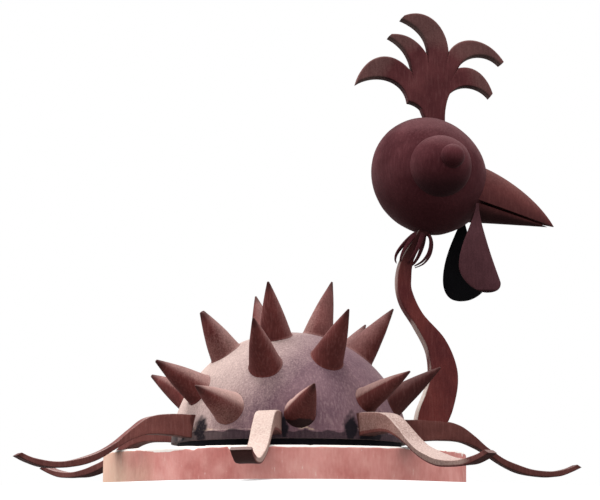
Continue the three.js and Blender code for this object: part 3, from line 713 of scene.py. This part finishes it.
def make_dome():
    """A dished cap: a sphere from the rim up, with a weld bead as a narrow bell curve where the short skirt
    meets the cap, and shallow dents from the uneven field."""
    radius, centre_z = DOME["radius"], DOME["centre_z"]
    rim = math.asin((DOME["rim_z"] - centre_z) / radius)
    seam = math.asin((DOME["skirt_top"] - centre_z) / radius)
    past_seam, near_pole = seam + 0.03, np.pi / 2 - 0.004
    angles = np.concatenate([np.linspace(rim, past_seam, 26)[:-1], np.linspace(past_seam, near_pole, 84)])
    bead = DOME["bead"] * np.exp(-(((angles - seam) * radius / DOME["bead_width"]) ** 2))
    reach = radius + bead
    profile = np.stack([reach * np.cos(angles), centre_z + reach * np.sin(angles)], axis=1)
    profile = np.concatenate([[(2, DOME["rim_z"])], profile])
    rings = revolve(profile, DOME["steps_round"])
    centre = np.array([0, 0, centre_z])
    outward = (rings - centre) / np.linalg.norm(rings - centre, axis=-1, keepdims=True)
    dents = DOME["broad_dent"] * ripple(rings, 300, 21) + DOME["small_dent"] * ripple(rings, 90, 22)
    dents[0] = 0
    rings = rings + outward * dents[..., None]

    spikes = [{**USUAL_SPIKE, **place} for places in SPIKE_RINGS.values() for place in places]
    feet = np.array([centre + radius * direction(place["azimuth"], place["elevation"]) for place in spikes])
    foot_radii = np.array([place["base_radius"] for place in spikes])

    def from_welds(points):
        """Distance to the nearest spike's foot, less the radius of that foot."""
        return (np.linalg.norm(points[:, None] - feet, axis=2) - foot_radii).min(1)

    def scalloped(points):
        """The height, moved up and down by uneven fields, so that a level line becomes a wavy one."""
        return points[:, 2] + 8 * ripple(points * (1, 1, 0.2), 110, 25) + 2 * ripple(points, 30, 26)

    def grime_and_shade(points):
        """Soft ragged ovals of painted shadow beside the arm roots, painted shade on the skirt below its wavy
        line, and soot in a ring round each weld.
        """
        uneven = 0.16 * ripple(points, 70, 23) + 0.1 * ripple(points, 28, 24)
        # Painted shadows of the arms, beside their roots.
        painted_shadow = np.zeros(len(points))
        for azimuth, level, half_width, half_height, strength in DOME_ARM_SHADOWS:
            aside = points @ direction(azimuth + 90, 0) / half_width
            above = (points[:, 2] - level) / half_height
            shadow_patch = smooth_step(-np.hypot(aside, above) + uneven, -1.3, -0.5)
            painted_shadow = np.maximum(painted_shadow, strength * shadow_patch * (points @ direction(azimuth, 0) > 0))
        # Painted shade on the skirt below its wavy line.
        below_seam = DOME["skirt_top"] - scalloped(points)
        skirt = DOME["skirt_shade"] * smooth_step(below_seam, -3, 4)
        welds = DOME["weld_soot"] * smooth_step(-from_welds(points), -8, -2)
        return np.maximum(np.maximum(painted_shadow, skirt), welds)

    def chalk_and_highlight(points):
        """A pale lip just above the skirt's wavy line, here and there."""
        lip = DOME["lip_chalk"] * smooth_step(-np.abs(scalloped(points) - DOME["skirt_top"] - 7), -6, -2)
        return lip * smooth_step(ripple(points, 220, 27), -0.4, 0.4)

    marks = {"grime_and_shade": grime_and_shade, "chalk_and_highlight": chalk_and_highlight}
    piece("dome_body", [stack(rings)], DOME_STEEL, 35, marks)


def make_spike(name, place, seed):
    """A rolled cone: rings between the tip circle and the foot, which is where each straight line of the cone
    meets the dome's sphere. A small flare at the foot is the weld, half a sine wave bulges the sides, a low
    ridge underneath is the rolled seam, and a wide tip is broken off along an uneven slant."""
    place = {**USUAL_SPIKE, **place}
    length, base_radius, tip_radius = place["length"], place["base_radius"], place["tip_radius"]
    centre = np.array([0, 0, DOME["centre_z"]])
    start = DOME["radius"] * direction(place["azimuth"], place["elevation"])
    heading = place["azimuth"] + place["swing"]
    axis = direction(heading, place["elevation"] + place["lift"])
    side = direction(heading + 90, 0)
    up = np.cross(axis, side)
    angles = np.linspace(0, 2 * np.pi, SPIKE["steps_round"], endpoint=False)
    circle = np.cos(angles)[:, None] * side + np.sin(angles)[:, None] * up
    foot = start + base_radius * circle
    tip = start + axis * length + tip_radius * circle
    line = tip - foot
    # Solves |foot + s line| = the sphere's radius, less a little so that the foot is bedded in.
    bedded = DOME["radius"] - SPIKE["bedded"]
    a = np.sum(line**2, axis=1)
    b = 2 * np.sum(foot * line, axis=1)
    c = np.sum(foot**2, axis=1) - bedded**2
    s = (-b + np.sqrt(b**2 - 4 * a * c)) / (2 * a)
    foot = foot + s[:, None] * line
    if tip_radius > SPIKE["broken_tip"]:
        slant = 0.04 * np.cos(angles - 0.4) + 0.02 * np.sin(3 * angles)
        tip = tip - np.clip(slant, 0, 1)[:, None] * line
    share = np.concatenate([np.linspace(0, 0.08, 9)[:-1], np.linspace(0.08, 1, 46)])[:, None, None]
    rings = foot + share * (tip - foot)
    middle = rings.mean(1, keepdims=True)
    outward = (rings - middle) / np.linalg.norm(rings - middle, axis=-1, keepdims=True)
    flare = SPIKE["weld_flare"] * np.exp(-((share * length / SPIKE["weld_width"]) ** 2))
    flare = flare + SPIKE["bulge"] * np.sin(np.pi * share)
    from_seam = (angles[None, :, None] - 1.5 * np.pi) / SPIKE["seam_angle"]
    seam = SPIKE["seam"] * np.exp(-(from_seam**2)) * (1 - share)
    dents = SPIKE["dent"] * ripple(rings, 110, seed)[..., None] * (1 - share)
    rings = centre + rings + outward * (flare + seam + dents)
    cap = rings[-1:].mean(1, keepdims=True)
    rounded = [
        rings[-1:] * keep + cap * (1 - keep) + axis * rise * tip_radius
        for keep, rise in ((0.9, 0.25), (0.7, 0.45), (0.35, 0.6))
    ]
    rings = np.concatenate([rings] + rounded)

    def grime_and_shade(points):
        """Soot at the weld and tip by the height over the dome, painted shadow black up to its level, and
        soot and painted shade all over by its share.
        """
        height = np.linalg.norm(points - centre, axis=1) - DOME["radius"]
        weld = SPIKE["weld_soot"] * smooth_step(-height, -7, -1)
        point = SPIKE["tip_soot"] * smooth_step(height, length * 0.7, length)
        # Painted shadow: below its level the spike turns black.
        level = points[:, 2] + 3 * ripple(points, 40, 141)
        painted_shadow = smooth_step(-level, -place["painted_shadow_level"] - 4, -place["painted_shadow_level"] + 4)
        return np.maximum(np.maximum(weld, point), np.maximum(painted_shadow, place["soot_and_shade"]))

    def chalk_and_highlight(points):
        """Dust and painted highlight by how far upwards the side faces, with a share of painted bounce light
        underneath, thinning to half towards the tip.
        """
        from_foot = points - centre - start
        along = from_foot @ axis
        from_axis = from_foot - along[:, None] * axis
        rise = from_axis[:, 2] / np.maximum(np.linalg.norm(from_axis, axis=1), 1)
        # Painted bounce light: a share of the pale coat lies underneath too.
        cover = place["bounce_highlight_under"] + (1 - place["bounce_highlight_under"]) * smooth_step(rise, -0.15, 0.4)
        return place["dust_and_highlight"] * cover * (1 - 0.5 * smooth_step(along, 30, length))

    piece(name, [stack(rings)], SPIKE_STEEL, 40, {"grime_and_shade": grime_and_shade, "chalk_and_highlight": chalk_and_highlight})


def make_arm(index):
    """An S-shaped bar between its top and under edges, laid along X, tilted, swept and turned to its azimuth.
    Its sides close in evenly towards the tip, and its roll grows and fades along it as a squared sine."""
    fitting = {**USUAL_ARM, **ARMS[index]}
    length = fitting["length"]

    def edge(points):
        """One edge as a smooth curve, its places along the arm raised to the power of the arm's bend."""
        curve = np.array(points, float)
        along = np.where(curve[:, 0] > 0, np.abs(curve[:, 0]) ** fitting["bend"], curve[:, 0])
        placed = np.stack([length * along, curve[:, 1] - ARM["root_height"]], axis=1)
        return evenly(spline(placed), 120)

    top, under = edge(ARM_TOP), edge(ARM_UNDER)
    rings = bar(top, under, ARM["width"], ARM["rounding"], side_steps=5)
    from_top = np.linalg.norm(rings[..., ::2] - top[:, None], axis=-1)
    from_under = np.linalg.norm(rings[..., ::2] - under[:, None], axis=-1)
    near_tip = np.clip((rings[..., 0] / length - ARM["narrows_from"]) / (1 - ARM["narrows_from"]), 0, 1)
    rings[..., 1] *= 1 - (1 - fitting["tip_width"] / ARM["width"]) * near_tip
    middle = rings.mean(1, keepdims=True)
    share = (middle[..., 0] / length - ARM["rolls_from"]) / (ARM["rolls_to"] - ARM["rolls_from"])
    angle = math.radians(fitting["roll"]) * np.sin(np.pi * np.clip(share, 0, 1)) ** 2
    across, rise = rings[..., 1], rings[..., 2] - middle[..., 2]
    rings[..., 1], rings[..., 2] = (
        across * np.cos(angle) - rise * np.sin(angle),
        across * np.sin(angle) + rise * np.cos(angle) + middle[..., 2],
    )
    fields = [ripple(rings, size, first + index) for size, first in ((160, 40), (130, 60), (110, 80))]
    rings = rings + ARM["dent"] * np.stack(fields, axis=-1)
    # Pale top and sides: bleach and painted highlight.
    on_top = fitting["pale_top"] * smooth_step(-from_top, -6, -2)
    along = middle[..., 0] / length
    outwards = 0.7 + 0.3 * smooth_step(along, 0.2, 0.5)
    on_sides = fitting["pale_sides"] * smooth_step(from_under, 4, 14) * outwards
    bleach_and_highlight = np.maximum(on_top, on_sides) * smooth_step(-along, -0.94, -0.8)
    bleach_and_highlight = with_ends(bleach_and_highlight)
    end = np.broadcast_to(ARM["end_dark"] * smooth_step(along, 0.95, 0.97), from_top.shape)
    end = with_ends(end, last=ARM["end_dark"])
    rings = turn(turn(rings, "Y", -fitting["tilt"]), "Z", -fitting["sweep"])
    rings = turn(rings + (ARM["root_radius"], 0, ARM["root_height"]), "Z", arm_azimuth(index))

    def grime_and_shade(points):
        """Painted shade at the root by the distance from the dome, darkening on the end face, and all over.
        """
        # Painted shade where the arm meets the dome.
        reach = np.linalg.norm(points[:, :2], axis=1) - DOME["radius"]
        root = ARM["root_shade"] * smooth_step(-reach + 3 * ripple(points, 60, 99), -8, 2)
        return np.maximum(np.maximum(root, end), fitting["soot_and_shade"])

    marks = {"grime_and_shade": grime_and_shade, "chalk_and_highlight": lambda points: bleach_and_highlight}
    piece(f"arm_{index + 1}", [stack(rings)], ARM_STEEL, 35, marks)


def make_neck():
    """An S-shaped bar between its back and front edges, upright over the first arm."""
    back, front = evenly(spline(NECK_BACK), 160), evenly(spline(NECK_FRONT), 160)
    rings = bar(back, front, NECK["thickness"], NECK["rounding"], side_steps=6)
    rings[..., 1] += NECK["dent"] * ripple(rings, 190, 31)
    middle = rings[:, :, ::2].mean(1, keepdims=True)
    to_back = (back - front) / np.linalg.norm(back - front, axis=1, keepdims=True)
    reach = np.sum((rings[:, :, ::2] - middle) * to_back[:, None], axis=-1)
    half = np.linalg.norm(back - front, axis=1)[:, None] / 2
    low_down = smooth_step(-rings[..., 2], -560, -420)
    pale = smooth_step(reach, half - 9, half - 1) * (NECK["pale_back"] + NECK["paler_foot"] * low_down)
    pale = with_ends(pale * smooth_step(ripple(rings, 260, 32), -1.2, 0.6))
    # The pale back edge is bleach and painted highlight, and the top is darkened with painted shade under the
    # ruff.
    marks = {
        "chalk_and_highlight": lambda points: pale,
        "grime_and_shade": lambda points: NECK["top_shade"] * smooth_step(points[:, 2], 880, 1210),
    }
    bird_piece("neck", [rings], NECK_STEEL, marks=marks)


def make_claw(index):
    """A thin arched strip between its outer edge and an inner edge one thickness square to it, both narrowing
    to the tip, turned round the ruff's axis and leant with it."""
    around = RUFF["first_turn"] + 360 * index / RUFF["count"]
    front_share = (1 + math.cos(math.radians(around))) / 2
    outer = spline(np.array(CLAW_BACK) * (1 - front_share) + np.array(CLAW_FRONT) * front_share)
    outer = evenly(outer, 60)
    taper = np.sqrt(np.linspace(1, 0.08, len(outer)))
    run = np.gradient(outer, axis=0)
    square = np.stack([run[:, 1], -run[:, 0]], axis=1) / np.linalg.norm(run, axis=1, keepdims=True)
    inner = outer + RUFF["thickness"] * taper[:, None] * square
    rings = bar(inner, outer, RUFF["width"], RUFF["rounding"], side_steps=2)
    rings[..., 1] *= taper[:, None]
    rings = turn(rings, "Z", around)
    rings = turn(rings, "Y", RUFF["lean"]) + (RUFF["forward"], 0, RUFF["height"])
    bird_piece(f"ruff_claw_{index + 1}", [rings], BIRD_STEEL)


def ball_profile(radius, last_angle, steps):
    """The side of a ball from its outer pole to an angle, as radius times sine and cosine."""
    angles = np.linspace(0.01, math.radians(last_angle), steps)
    return np.stack([radius * np.sin(angles), radius * np.cos(angles)], axis=1)


def make_head():
    """The head, eyes and pupils are balls turned from half circles. The head is stretched to an oval, the
    head and eyes are dented by the uneven field, and the eyes and pupils end a little inside what carries
    them."""
    rings = revolve(ball_profile(HEAD["radius"], 179.4, 100), 180)
    dents = HEAD["broad_dent"] * ripple(rings, 260, 51) + HEAD["small_dent"] * ripple(rings, 80, 52)
    rings = rings * (1 + dents / HEAD["radius"])[..., None]
    rings = turn(rings * (HEAD_OVAL["long"], 1, HEAD_OVAL["short"]), "Y", HEAD_OVAL["fall"])
    rings = rings + on_head(*HEAD_OVAL["centre"])
    bird_piece("head_ball", [rings], BIRD_STEEL)
    for name, side in (("right", 1), ("left", -1)):
        place = np.array(EYE["centre"], float) * (1, side, 1)
        eye_middle = on_head(*place)
        rings = revolve(ball_profile(EYE["radius"], 97, 60), 128, eye_middle, eye_middle - on_head(0, 0, 0))
        dents = EYE["dent"] * ripple(rings, 130, 53)
        rings = rings + (rings - eye_middle) / EYE["radius"] * dents[..., None]

        def grime_and_shade(points):
            """Painted shade that eases in downwards from the middle of the eye."""
            return EYE["shade_below"] * smooth_step(eye_middle[2] - points[:, 2], 0, EYE["radius"])

        bird_piece(f"eye_{name}", [rings], BIRD_STEEL, 50, {"grime_and_shade": grime_and_shade})
        pupil_middle = on_head(*(place + np.array(PUPIL["from_eye"], float) * (1, side, 1)))
        rings = revolve(ball_profile(PUPIL["radius"], 108, 40), 96, pupil_middle, pupil_middle - eye_middle)
        bird_piece(f"pupil_{name}", [rings], BIRD_STEEL, 50)


def make_comb():
    """Five curved fingers stand side by side on the stem. Each is a bar between two edges, which run from the
    foot up a shared crease to the notch and then along the finger to its tip; rounded corners leave the
    creases as grooves."""
    foot = COMB["foot"]
    back = np.concatenate([[(-14, foot)], bezier((-14, 300), (-40, 364), (-107, 374))])
    front = np.array([(86, foot), (80, 340)], float)
    creases = [
        back,
        bezier((4, foot), (-64, 400), (-85, 530)),
        bezier((24, foot), (8, 450), (-2, 622)),
        bezier((50, foot), (70, 480), (108, 644)),
        bezier((70, foot), (88, 450), (158, 560)),
        front,
    ]
    finger_edges = [
        (bezier((-107, 374), (-119, 484), (-251, 540), (-378, 463)),
         bezier((-85, 530), (-209, 686), (-351, 592), (-378, 463))),
        (bezier((-85, 530), (-97, 658), (-208, 714)), bezier((-2, 622), (-74, 742), (-189, 731))),
        (bezier((-2, 622), (3, 755), (-142, 811)), bezier((108, 644), (98, 796), (-9, 876), (-120, 833))),
        (bezier((108, 644), (161, 740), (311, 737), (398, 600)),
         bezier((158, 560), (203, 643), (314, 652), (377, 584))),
        (bezier((158, 560), (226, 579), (301, 544), (337, 430)),
         bezier((80, 340), (96, 492), (254, 494), (320, 408))),
    ]
    fingers = []
    # Each finger reaches under its neighbour along the crease, so that the grooves stay shallow.
    crease_rows, fade_rows, finger_rows = 40, 9, 60
    along_crease = np.full(crease_rows - 1 - fade_rows, COMB["tuck"])
    tuck = np.concatenate([along_crease, np.linspace(COMB["tuck"], 0, fade_rows), np.zeros(finger_rows)])
    sideways = np.stack([tuck, np.zeros_like(tuck)], axis=1)
    last = len(finger_edges) - 1
    for index, (one, other) in enumerate(finger_edges):
        left = np.concatenate([evenly(creases[index], crease_rows)[:-1], evenly(one, finger_rows)])
        right = np.concatenate([evenly(creases[index + 1], crease_rows)[:-1], evenly(other, finger_rows)])
        left, right = left - sideways * (index > 0), right + sideways * (index < last)
        rings = bar(left, right, COMB["thickness"], COMB["rounding"], corner_steps=6, side_steps=6)
        rings = rings + on_head(0, 0, 0)
        rings[..., 1] += COMB["dent"] * ripple(rings, 140, 54)
        fingers.append(rings)
    stem_top = turn(on_head(0, 0, COMB["stem_top"]), "Z", HEADING)

    def chalk_and_highlight(points):
        """Bleaching that eases in with the distance from the top of the stem."""
        return COMB["bleach"] * smooth_step(np.linalg.norm(points - stem_top, axis=1), 130, 300)

    bird_piece("comb", fingers, COMB_STEEL, marks={"chalk_and_highlight": chalk_and_highlight})


def make_half_beak(name, beak):
    """A half cone of sheet. Each section is half an ellipse, as wide as the mouth and as deep as the ridge
    stands off the straight mouth line, with an inner half ellipse one sheet thickness inside it."""
    t = np.linspace(0, 0.995, 70)[:, None]
    root, tip = (np.array(point, float) for point in beak["mouth"])
    mouth = root + (tip - root) * t
    ridge = bezier(*beak["ridge"], steps=400)
    places = np.linspace(0, 1, len(ridge))
    ridge = np.stack([np.interp(t[:, 0], places, line) for line in ridge.T], axis=1)
    half_width = beak["half_width"] * (1 - t) ** BEAK_TAPER
    depth = np.linalg.norm(ridge - mouth, axis=1, keepdims=True)
    angles = np.linspace(0, np.pi, 41)
    wall = np.minimum(BEAK_SHEET, 0.4 * np.minimum(depth, half_width))

    def arc(inset, turns):
        """Half ellipses at the given angles, one per section, an inset inside the outer one."""
        rise = np.sin(turns) * (1 - inset / depth)
        across = (half_width - inset) * np.cos(turns)
        flat = mouth[:, None] + rise[..., None] * (ridge - mouth)[:, None]
        return np.stack([flat[..., 0], -across, flat[..., 1]], axis=-1)

    outside, inside = arc(np.zeros_like(wall), angles), arc(wall, angles[::-1])
    rings = np.concatenate([outside, inside], axis=1) + on_head(0, 0, 0)
    bird_piece(name, [rings], BEAK_STEEL)


def make_wattle(node_name, place):
    """A drop cut from sheet: a thin bar between its back and front edges, dished outwards by a parabola
    across it, hung from its narrow top."""
    side = place["side"]
    above = np.array([(0, WATTLE["root"])])

    def edge(curves):
        """One edge: a short straight root and two Bezier curves in a row."""
        upper, lower = (bezier(*controls) for controls in curves)
        return evenly(np.concatenate([upper[:1] + above, upper, lower[1:]]), 90)

    back, front = edge(place["back"]), edge(place["front"])
    rings = bar(back, front, WATTLE["thickness"], WATTLE["rounding"], corner_steps=3, side_steps=14)
    inside = smooth_step(side * rings[..., 1], 0, 2)
    middle = ((back + front) / 2)[:, None]
    reach = np.linalg.norm(rings[..., [0, 2]] - middle, axis=-1)
    half = np.maximum(np.linalg.norm(front - back, axis=1) / 2, 1)[:, None]
    dish = WATTLE["dish"] * (1 - (reach / WATTLE["dish_reach"]) ** 2)
    rings[..., 1] -= side * dish * smooth_step(half, 10, 60)
    rings = turn(rings, "X", side * WATTLE["splay"])
    rings = rings + on_head(place["forward"], side * WATTLE["sideways"], place["up"])
    # Painted shade: the inner face of each wattle is darkened.
    inner_shade = with_ends(inside)
    bird_piece(node_name, [rings], WATTLE_STEEL, marks={"grime_and_shade": lambda points: inner_shade})


make_plinth()
make_foot_ring()
make_dome()
for ring_index, (ring_name, places) in enumerate(SPIKE_RINGS.items()):
    for number, place in enumerate(places):
        make_spike(f"spike_{ring_name}_{number + 1}", place, seed=100 + 10 * ring_index + number)
for arm_index in range(len(ARMS)):
    make_arm(arm_index)
make_neck()
for claw_index in range(RUFF["count"]):
    make_claw(claw_index)
make_head()
make_comb()
make_half_beak("beak_upper", UPPER_BEAK)
make_half_beak("beak_lower", LOWER_BEAK)
for wattle_name, wattle_place in WATTLES.items():
    make_wattle(wattle_name, wattle_place)


# Stage, lights and camera

def make_floor():
    """A pale floor, level under the plinth and falling away as a shallow cone outside it, because the camera
    looks up from below the level of the plinth's underside."""
    reach = np.array([0.01, 0.5, FLOOR["level_to"], 1.5, 3, 6, 10, 16])
    fall = np.maximum(reach - FLOOR["level_to"], 0) * FLOOR["slope"]
    rings = revolve(np.stack([reach, -fall - FLOOR["gap"]], axis=1), 96)
    rows, columns = rings.shape[:2]
    here = np.arange(rows * columns).reshape(rows, columns)
    ahead = np.roll(here, -1, axis=1)
    quads = np.stack([here[:-1], here[1:], ahead[1:], ahead[:-1]], axis=-1).reshape(-1, 4)
    mesh = bpy.data.meshes.new("floor")
    mesh.from_pydata(rings.reshape(-1, 3), [], quads)
    material, _, shader = new_material("pale_plaster_floor")
    shader.inputs["Base Color"].default_value = linear(FLOOR["colour"])
    shader.inputs["Roughness"].default_value = 0.9
    mesh.materials.append(material)
    floor = bpy.data.objects.new("floor", mesh)
    floor.visible_diffuse = False
    floor.visible_glossy = False
    bpy.context.scene.collection.objects.link(floor)


def make_lights():
    """A white sky that is dimmer from below, a soft sun from high up, a little to the left, and a weaker low
    light from the left and behind that catches the left edges."""
    world = bpy.data.worlds.new("white_studio")
    world.use_nodes = True
    tree = world.node_tree
    heading = node(tree, "ShaderNodeTexCoord").outputs["Generated"]
    height = node(tree, "ShaderNodeSeparateXYZ", {0: heading}).outputs["Z"]
    dimming = {0: height, 1: SKY["dims_to"], 2: SKY["dims_from"], 3: SKY["below"], 4: SKY["strength"]}
    strength = node(tree, "ShaderNodeMapRange", dimming).outputs[0]
    tree.nodes["Background"].inputs["Color"].default_value = (1, 1, 1, 1)
    tree.links.new(strength, tree.nodes["Background"].inputs["Strength"])
    bpy.context.scene.world = world
    bpy.context.scene.view_settings.view_transform = "Standard"
    for name, strength, spread, towards in LIGHTS:
        light = bpy.data.lights.new(name, "SUN")
        light.energy = strength
        light.angle = math.radians(spread)
        light_object = bpy.data.objects.new(name, light)
        light_object.rotation_euler = Vector(towards).to_track_quat("-Z", "Y").to_euler()
        bpy.context.scene.collection.objects.link(light_object)


def make_camera():
    """The camera stands low in front and looks a little up."""
    camera = bpy.data.cameras.new("camera")
    camera.lens = CAMERA["lens"]
    camera.sensor_width = CAMERA["sensor"]
    camera.sensor_fit = "HORIZONTAL"
    camera.clip_end = CAMERA["clip_end"]
    camera_object = bpy.data.objects.new("camera", camera)
    place, aim = Vector(CAMERA["place"]) * MM, Vector(CAMERA["aim"]) * MM
    camera_object.location = place
    camera_object.rotation_euler = (aim - place).to_track_quat("-Z", "Y").to_euler()
    bpy.context.scene.collection.objects.link(camera_object)
    bpy.context.scene.camera = camera_object


make_floor()
make_lights()
make_camera()
